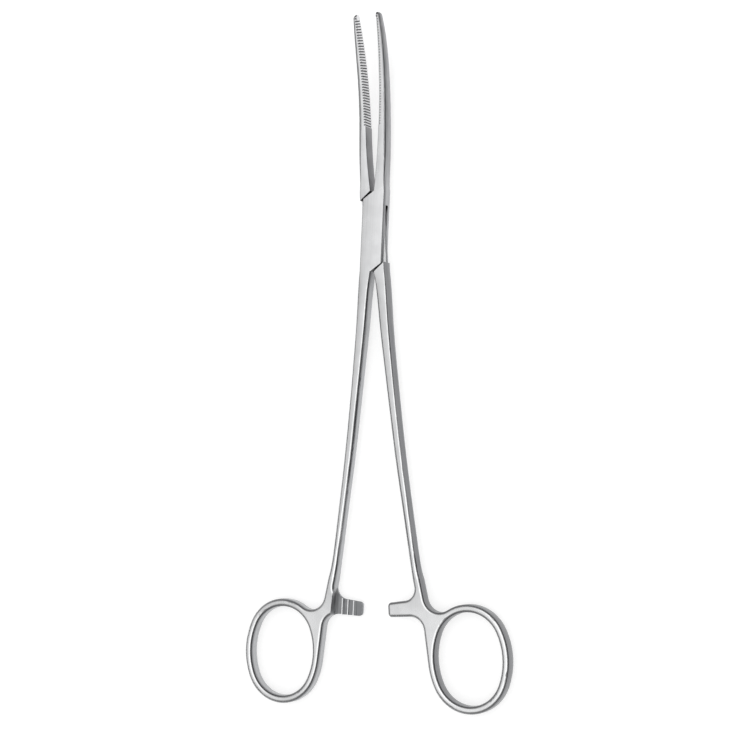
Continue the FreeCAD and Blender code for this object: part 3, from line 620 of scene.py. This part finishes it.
def recess_group():
    """White in the thinned ratchet arm, where shade is painted, on its teeth's crests, where a
    highlight is painted, and in its hollow root.
    """
    group, given, filled = new_group(
        "Ratchet Recess Mask",
        ("Vector", "Normal", "Side", "Root", "Teeth"),
        ("Recess", "Crest", "Hollow"),
    )
    place = split_vector(group, given["Vector"])
    across = add_math(group, "MULTIPLY", place["X"], given["Side"])
    drop = add_math(group, "SUBTRACT", place["Y"], RECESS_TOP)
    lean = add_math(group, "MULTIPLY", drop, RECESS_SLOPE)
    root = add_math(group, "SUBTRACT", lean, given["Root"])
    beyond = add_range(group, add_math(group, "SUBTRACT", across, root), *RECESS_EDGE)
    upper = add_range(group, place["Y"], *RECESS_UPPER)
    lower = add_range(group, place["Y"], *RECESS_LOWER)
    raised = add_math(group, "SUBTRACT", place["Z"], THICKNESS / 2)
    layer = add_math(group, "MULTIPLY", raised, given["Side"])
    top = add_range(group, layer, *ARM_TOP)
    bottom = add_range(group, layer, *ARM_BOTTOM)
    band = add_math(group, "MULTIPLY", upper, lower)
    recess = add_math(group, "MULTIPLY", beyond, band, add_math(group, "MULTIPLY", top, bottom))

    upright = split_vector(group, given["Normal"])["Z"]
    flat = add_range(group, add_math(group, "ABSOLUTE", upright), *CREST_FLAT)
    high = add_range(group, layer, *CREST_LEVEL)
    behind = add_math(group, "ADD", across, given["Teeth"])
    toothed = add_range(group, behind, *TOOTHED)
    group.links.new(recess, filled["Recess"])
    group.links.new(add_math(group, "MULTIPLY", flat, high, toothed, recess), filled["Crest"])
    group.links.new(add_range(group, behind, *HOLLOW), filled["Hollow"])
    return group


def crown_group():
    """Sideways slope of the crowned faces, from -1 at the left edge to 1 at the right one.

    Bend and Curve give the shank's middle line, whose distance from the centre plane grows with the
    distance from the lock.
    """
    group, given, filled = new_group("Face Crown", ("Vector", "Side", "Bend", "Curve"), ("Slope",))
    place = split_vector(group, given["Vector"])
    across = add_math(group, "MULTIPLY", place["X"], given["Side"])

    behind = add_math(group, "SUBTRACT", -LOCK_END, place["Y"])
    bent = add_math(group, "MULTIPLY", behind, given["Bend"])
    curved = add_math(group, "MULTIPLY", behind, behind, given["Curve"])
    shank_middle = add_math(group, "ADD", bent, curved, SHANK_START)
    off_shank = add_math(group, "ADD", across, shank_middle)
    shank = add_math(group, "DIVIDE", off_shank, SHANK_HALF_WIDTH)

    ahead = add_math(group, "SUBTRACT", place["Y"], JAW_CLOSING_START)
    closing = add_math(group, "MULTIPLY", ahead, ahead, JAW_CLOSING)
    off_jaw = add_math(group, "ADD", add_math(group, "SUBTRACT", across, JAW_MIDDLE), closing)
    jaw = add_math(group, "DIVIDE", off_jaw, SHANK_HALF_WIDTH / JAW_CROWN)
    lock = add_math(group, "DIVIDE", across, LOCK_HALF_WIDTH / LOCK_CROWN)

    in_jaw = add_range(group, place["Y"], *CROWN_OF_JAW)
    in_shank = add_range(group, place["Y"], *CROWN_OF_SHANK)
    in_lock = add_math(group, "SUBTRACT", 1.0, in_jaw, in_shank)
    parts = [
        add_math(group, "MULTIPLY", slope, share)
        for slope, share in ((jaw, in_jaw), (lock, in_lock), (shank, in_shank))
    ]
    slope = add_math(group, "MINIMUM", add_math(group, "ADD", *parts), 1.0)
    slope = add_math(group, "MULTIPLY", add_math(group, "MAXIMUM", slope, -1.0), given["Side"])
    not_shank = add_math(group, "SUBTRACT", 1.0, in_shank)
    slope = add_math(group, "ADD", slope, add_math(group, "MULTIPLY", not_shank, FRONT_LEAN))
    crowned = add_range(group, place["Y"], *CROWNED)
    group.links.new(add_math(group, "MULTIPLY", slope, crowned), filled["Slope"])
    return group


GROUP_BUILDERS = {
    "Grinding Lines": grain_group,
    "Satin Speckle": speckle_group,
    "Rounded Edge Mask": edge_group,
    "Flank Shade Mask": flank_shade_group,
    "Jaw Face Mask": jaw_face_group,
    "Lock Gap Mask": lock_gap_group,
    "Ratchet Recess Mask": recess_group,
    "Face Crown": crown_group,
}


def add_group(tree, name, **values):
    """Place a shared group in a material, and build it the first time; gives its outputs.

    Each value is a number or a socket.
    """
    node = tree.nodes.new("ShaderNodeGroup")
    node.node_tree = bpy.data.node_groups.get(name) or GROUP_BUILDERS[name]()
    for label, value in values.items():
        feed(tree, node.inputs[label], value)
    return node.outputs


def add_mix(tree, factor, first, second):
    """A colour mix; the two ends are sockets or colours."""
    node = tree.nodes.new("ShaderNodeMix")
    node.data_type = "RGBA"
    tree.links.new(factor, node.inputs["Factor"])
    for socket, end in ((node.inputs["A"], first), (node.inputs["B"], second)):
        feed(tree, socket, end if isinstance(end, bpy.types.NodeSocket) else (*end, 1.0))
    return node.outputs["Result"]


def darkened(colour, share):
    """A colour with each of its values times the share."""
    return tuple(value * share for value in colour)


def new_material(name, shader):
    """A material with one shader on its surface, and that shader's node."""
    material = bpy.data.materials.new(name)
    material.use_nodes = True
    tree = material.node_tree
    tree.nodes.clear()
    output = tree.nodes.new("ShaderNodeOutputMaterial")
    node = tree.nodes.new(shader)
    tree.links.new(node.outputs[0], output.inputs["Surface"])
    return material, node


def steel_masks(tree, half, settings):
    """Sockets of every pattern and mask of one half, most of them in its own frame."""
    coordinates = tree.nodes.new("ShaderNodeTexCoord").outputs
    mapping = tree.nodes.new("ShaderNodeMapping")
    mapping.inputs["Rotation"].default_value = (0.0, 0.0, HALF_TURN * half.side)
    tree.links.new(coordinates["Object"], mapping.inputs["Vector"])
    local = mapping.outputs["Vector"]
    placed = {"Vector": local, "Normal": coordinates["Normal"], "Side": half.side}

    masks = SimpleNamespace()
    masks.grain = add_group(
        tree,
        "Grinding Lines",
        Vector=local,
        Width=settings.grain_width,
        Stretch=settings.grain_stretch,
    )
    masks.speckle = add_group(tree, "Satin Speckle", Vector=local, Width=settings.speckle_width)
    masks.jaw = add_group(tree, "Jaw Face Mask", **placed)
    masks.lock = add_group(tree, "Lock Gap Mask", **placed)
    masks.arm = add_group(
        tree,
        "Ratchet Recess Mask",
        **placed,
        Root=half.arm_root,
        Teeth=half.last_tooth,
    )
    masks.crown = add_group(
        tree,
        "Face Crown",
        Vector=local,
        Side=half.side,
        Bend=half.bend,
        Curve=half.curve,
    )

    edge_start, edge_full = EDGE_ROUNDING
    edges = add_group(tree, "Rounded Edge Mask", Start=edge_start, Full=edge_full)
    along = split_vector(tree, coordinates["Object"])["Y"]
    ring = add_range(tree, along, web_start(), web_start() - RING_FADE)
    blunt = add_range(tree, along, *BLUNT_JAW)
    masks.flank = add_group(
        tree,
        "Flank Shade Mask",
        Vector=local,
        Upright=edges["Upright"],
        Blunt=blunt,
        Band=half.band,
        Brightness=half.brightness,
    )

    matt_edge = add_math(tree, "MULTIPLY", edges["Mask"], blunt)
    faces = (masks.arm["Recess"], masks.jaw["Face"], masks.lock["Cheek"], matt_edge)
    coarse = add_math(tree, "MAXIMUM", *faces)
    masks.coarse = add_math(tree, "SUBTRACT", coarse, masks.arm["Crest"], clamp=True)
    edge = add_math(tree, "SUBTRACT", edges["Mask"], blunt, clamp=True)
    smooth = add_math(tree, "MAXIMUM", edge, add_math(tree, "MULTIPLY", ring, RING_POLISH))
    masks.smooth = add_math(tree, "SUBTRACT", smooth, masks.coarse, clamp=True)
    return masks


def steel_colour(tree, masks, settings):
    """Colour of the steel: ground faces first, then what lies over them, mostly painted shade and
    painted highlights.
    """
    bands = masks.grain["Bands"]
    grain = add_range(tree, bands, *PATTERN_RANGE)
    colour = add_mix(tree, grain, darkened(settings.colour, GRAIN_SHADE), settings.colour)
    # Painted shade on the flanks, darkest in a painted dark reflection band beside the edges
    flank = add_mix(tree, masks.flank["Light"], settings.flank_band_shade_colour, settings.flank_shade_colour)

    streak = add_range(tree, bands, *STREAK_RANGE)
    coarse = add_mix(tree, streak, settings.streak_and_shade_colour, settings.recess_shade_colour)
    hollow_streak = darkened(settings.hollow_shade_colour, HOLLOW_STREAK_SHADE)
    hollow = add_mix(tree, streak, hollow_streak, settings.hollow_shade_colour)
    recess = add_mix(tree, masks.arm["Hollow"], coarse, hollow)
    recessed = add_math(tree, "SUBTRACT", masks.arm["Recess"], masks.arm["Crest"], clamp=True)

    # Over the ground colour lie the polished edges and rings, painted shade on the flanks, painted
    # highlights on the cheeks, crests and lands, and painted shade in the recess, between the jaws, in
    # the serrations and in the lock's gaps
    layers = (
        (masks.smooth, settings.polished_colour),
        (masks.flank["Flank"], flank),
        (masks.lock["Cheek"], settings.painted_highlight_colour),
        (recessed, recess),
        (masks.arm["Crest"], settings.painted_highlight_colour),
        (masks.jaw["Face"], settings.jaw_face_shade_colour),
        (masks.jaw["Land"], settings.land_highlight_colour),
        (masks.jaw["Groove"], settings.groove_shade_colour),
        (masks.lock["Gap"], settings.gap_shade_colour),
    )
    for mask, layer in layers:
        colour = add_mix(tree, mask, colour, layer)
    return colour


def steel_roughness(tree, masks, settings):
    """Roughness of the steel, uneven along the grain and in cloudy patches."""
    uneven = [
        add_range(tree, pattern, *PATTERN_RANGE, -amount, amount)
        for pattern, amount in (
            (masks.grain["Bands"], BAND_ROUGHNESS),
            (masks.speckle["Clouds"], CLOUD_ROUGHNESS),
        )
    ]
    satin, polished = settings.satin_roughness, settings.polished_roughness
    rough = add_math(tree, "ADD", *uneven, satin)
    drop = add_math(tree, "MULTIPLY", masks.smooth, satin - polished)
    rise = add_math(tree, "MULTIPLY", masks.coarse, settings.recess_roughness - satin)
    return add_math(tree, "ADD", add_math(tree, "SUBTRACT", rough, drop), rise, clamp=True)


def crowned_normal(tree, slope, angle):
    """The surface normal leant sideways on the crowned faces, in the world's axes."""
    lean = tree.nodes.new("ShaderNodeCombineXYZ")
    tree.links.new(add_math(tree, "MULTIPLY", slope, math.tan(angle)), lean.inputs["X"])
    turn = tree.nodes.new("ShaderNodeVectorTransform")
    turn.vector_type = "VECTOR"
    turn.convert_from = "OBJECT"
    turn.convert_to = "WORLD"
    tree.links.new(lean.outputs[0], turn.inputs[0])
    leant = tree.nodes.new("ShaderNodeVectorMath")
    leant.operation = "ADD"
    tree.links.new(tree.nodes.new("ShaderNodeNewGeometry").outputs["Normal"], leant.inputs[0])
    tree.links.new(turn.outputs[0], leant.inputs[1])
    unit = tree.nodes.new("ShaderNodeVectorMath")
    unit.operation = "NORMALIZE"
    tree.links.new(leant.outputs[0], unit.inputs[0])
    return unit.outputs[0]


def steel_normal(tree, masks, settings):
    """The crowned normal with grinding lines and dimples, which polishing takes off."""
    height = add_math(tree, "ADD", masks.grain["Lines"], masks.speckle["Dimples"])
    lost = add_math(tree, "MULTIPLY", masks.smooth, POLISHED_OFF)
    kept = add_math(tree, "SUBTRACT", 1.0, lost)
    bump = tree.nodes.new("ShaderNodeBump")
    bump.inputs["Distance"].default_value = settings.grain_depth
    tree.links.new(add_math(tree, "MULTIPLY", height, kept), bump.inputs["Height"])
    crowned = crowned_normal(tree, masks.crown["Slope"], settings.crown)
    tree.links.new(crowned, bump.inputs["Normal"])
    return bump.outputs["Normal"]


def steel_material(name, half, settings):
    """Satin ground steel with polished edges and finger rings; the grain runs along the half."""
    material, steel = new_material(name, "ShaderNodeBsdfPrincipled")
    steel.inputs["Metallic"].default_value = 1.0
    tree = material.node_tree
    masks = steel_masks(tree, half, settings)
    tree.links.new(steel_colour(tree, masks, settings), steel.inputs["Base Color"])
    tree.links.new(steel_roughness(tree, masks, settings), steel.inputs["Roughness"])
    tree.links.new(steel_normal(tree, masks, settings), steel.inputs["Normal"])
    return material


def dress(node, material):
    """Give every slot of a solid's object one material."""
    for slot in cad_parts[node].material_slots:
        slot.material = material


class FORCEPS_OT_box_half(bpy.types.Operator):
    """Finish the half with the slotted box."""

    bl_idname = "forceps.box_half"
    bl_label = "Finish Box Half"

    def execute(self, context):
        settings = context.scene.forceps_steel
        dress("box_half", steel_material("box half steel", BOX_HALF, settings))
        return {"FINISHED"}


class FORCEPS_OT_tenon_half(bpy.types.Operator):
    """Finish the half with the tenon."""

    bl_idname = "forceps.tenon_half"
    bl_label = "Finish Tenon Half"

    def execute(self, context):
        settings = context.scene.forceps_steel
        dress("tenon_half", steel_material("tenon half steel", TENON_HALF, settings))
        return {"FINISHED"}


class FORCEPS_OT_hinge_pin(bpy.types.Operator):
    """Finish the joint pin, which is ground together with the box."""

    bl_idname = "forceps.hinge_pin"
    bl_label = "Finish Hinge Pin"

    def execute(self, context):
        settings = context.scene.forceps_steel
        dress("hinge_pin", steel_material("pin steel", BOX_HALF, settings))
        return {"FINISHED"}


def seen_mask(tree):
    """One for rays that see the background directly, in metal or through glass."""
    path = tree.nodes.new("ShaderNodeLightPath").outputs
    rays = (path["Is Camera Ray"], path["Is Glossy Ray"], path["Is Transmission Ray"])
    return add_math(tree, "MAXIMUM", *rays)


def add_stage_mesh(scene, name, form, material):
    """An object made of a bmesh, which is freed."""
    mesh = bpy.data.meshes.new(name)
    form.to_mesh(mesh)
    form.free()
    mesh.materials.append(material)
    piece = bpy.data.objects.new(name, mesh)
    scene.collection.objects.link(piece)
    return piece


def floor_material(settings):
    """Pale matt paper that reads as white and keeps a soft shadow."""
    material, paper = new_material("pale floor", "ShaderNodeBsdfPrincipled")
    tree = material.node_tree
    paper.inputs["Base Color"].default_value = (*settings.floor_colour, 1.0)
    paper.inputs["Roughness"].default_value = PAPER_ROUGHNESS
    paper.inputs["Specular IOR Level"].default_value = 0.0
    paper.inputs["Emission Color"].default_value = (1.0, 1.0, 1.0, 1.0)
    glow = add_math(tree, "MULTIPLY", seen_mask(tree), settings.floor_glow)
    tree.links.new(glow, paper.inputs["Emission Strength"])
    return material


def add_floor(scene, settings):
    """The square floor that the instrument lies on."""
    form = bmesh.new()
    bmesh.ops.create_grid(form, x_segments=1, y_segments=1, size=settings.floor_size / 2)
    floor = add_stage_mesh(scene, "floor", form, floor_material(settings))


def add_sky(scene, settings):
    """White surroundings that light the object at a plain level."""
    world = bpy.data.worlds.new("white surroundings")
    world.use_nodes = True
    tree = world.node_tree
    tree.nodes.clear()
    output = tree.nodes.new("ShaderNodeOutputWorld")
    background = tree.nodes.new("ShaderNodeBackground")
    background.inputs["Color"].default_value = (1.0, 1.0, 1.0, 1.0)
    rest = add_math(tree, "MULTIPLY", seen_mask(tree), 1.0 - settings.sky_level)
    strength = add_math(tree, "ADD", rest, settings.sky_level)
    tree.links.new(strength, background.inputs["Strength"])
    tree.links.new(background.outputs[0], output.inputs["Surface"])
    scene.world = world


def wall_material(settings):
    """Grey that brightens to white with the height, and higher up on the side at +X."""
    material, grey = new_material("grey wall", "ShaderNodeEmission")
    tree = material.node_tree
    place = split_vector(tree, tree.nodes.new("ShaderNodeTexCoord").outputs["Object"])
    skew = add_math(tree, "MULTIPLY", place["X"], settings.wall_skew)
    height = add_math(tree, "SUBTRACT", place["Z"], skew)
    fade = (settings.wall_fade, settings.wall_height)
    level = add_range(tree, height, *fade, settings.wall_level, 1.0)
    tree.links.new(level, grey.inputs["Strength"])
    return material


def add_walls(scene, settings):
    """A ring of grey walls that only the steel mirrors."""
    form = bmesh.new()
    bmesh.ops.create_cone(
        form,
        segments=WALL_SEGMENTS,
        radius1=settings.wall_distance,
        radius2=settings.wall_distance,
        depth=settings.wall_height,
        matrix=Matrix.Translation((0.0, 0.0, settings.wall_height / 2)),
    )
    walls = add_stage_mesh(scene, "walls", form, wall_material(settings))
    walls.visible_camera = False
    walls.visible_diffuse = False
    walls.visible_shadow = False


def add_softbox(scene, settings):
    """A rectangular lamp overhead, which looks straight down."""
    width, length = settings.softbox_width, settings.softbox_length
    lamp = bpy.data.lights.new("softbox", "AREA")
    lamp.shape = "RECTANGLE"
    lamp.size = width
    lamp.size_y = length
    lamp.energy = settings.softbox_level * math.pi * width * length
    softbox = bpy.data.objects.new("softbox", lamp)
    softbox.location = settings.softbox_place
    scene.collection.objects.link(softbox)


def add_camera(scene, settings):
    """The camera at the photograph's place."""
    side, tilt, roll = settings.camera_side, settings.camera_tilt, settings.camera_roll
    level = math.cos(tilt)
    back = Vector((math.sin(side) * level, math.sin(tilt), math.cos(side) * level))
    right = Vector((0.0, 1.0, 0.0)).cross(back).normalized()
    up = back.cross(right)
    rolled_right = right * math.cos(roll) + up * math.sin(roll)
    rolled_up = up * math.cos(roll) - right * math.sin(roll)
    place = Vector(settings.camera_target) + back * settings.camera_distance
    data = bpy.data.cameras.new("camera")
    data.sensor_width = SENSOR_WIDTH
    data.lens = settings.focal_pixels * SENSOR_WIDTH / PHOTO_SIZE
    data.clip_start = CLIP_START
    camera = bpy.data.objects.new("camera", data)
    scene.collection.objects.link(camera)
    turned = Matrix((rolled_right, rolled_up, back)).transposed()
    camera.matrix_world = Matrix.Translation(place) @ turned.to_4x4()
    scene.camera = camera


class FORCEPS_OT_stage(bpy.types.Operator):
    """Make the floor, the light and the camera."""

    bl_idname = "forceps.stage"
    bl_label = "Make Stage"

    def execute(self, context):
        scene = context.scene
        scene.view_settings.view_transform = "Standard"
        for add in (add_floor, add_sky, add_walls, add_softbox, add_camera):
            add(scene, scene.forceps_stage)
        return {"FINISHED"}


class FORCEPS_PT_panel(bpy.types.Panel):
    """The forceps' pieces and stage in the 3D view's sidebar."""

    bl_idname = "FORCEPS_PT_panel"
    bl_label = "Dissecting Forceps"
    bl_space_type = "VIEW_3D"
    bl_region_type = "UI"
    bl_category = "Forceps"

    def draw(self, context):
        column = self.layout.column()
        for operator in OPERATORS:
            column.operator(operator.bl_idname)
        for settings in (context.scene.forceps_steel, context.scene.forceps_stage):
            box = self.layout.box()
            for name in settings.__annotations__:
                box.prop(settings, name)


OPERATORS = (
    FORCEPS_OT_box_half,
    FORCEPS_OT_tenon_half,
    FORCEPS_OT_hinge_pin,
    FORCEPS_OT_stage,
)
CLASSES = (SteelSettings, StageSettings, *OPERATORS, FORCEPS_PT_panel)


def register():
    """Add the classes and settings to Blender."""
    for item in CLASSES:
        bpy.utils.register_class(item)
    bpy.types.Scene.forceps_steel = PointerProperty(type=SteelSettings)
    bpy.types.Scene.forceps_stage = PointerProperty(type=StageSettings)


def unregister():
    """Take them out again."""
    del bpy.types.Scene.forceps_stage
    del bpy.types.Scene.forceps_steel
    for item in reversed(CLASSES):
        bpy.utils.unregister_class(item)


def main():
    """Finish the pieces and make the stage."""
    register()
    bpy.ops.forceps.box_half()
    bpy.ops.forceps.tenon_half()
    bpy.ops.forceps.hinge_pin()
    bpy.ops.forceps.stage()


if __name__ == "__main__":
    main()
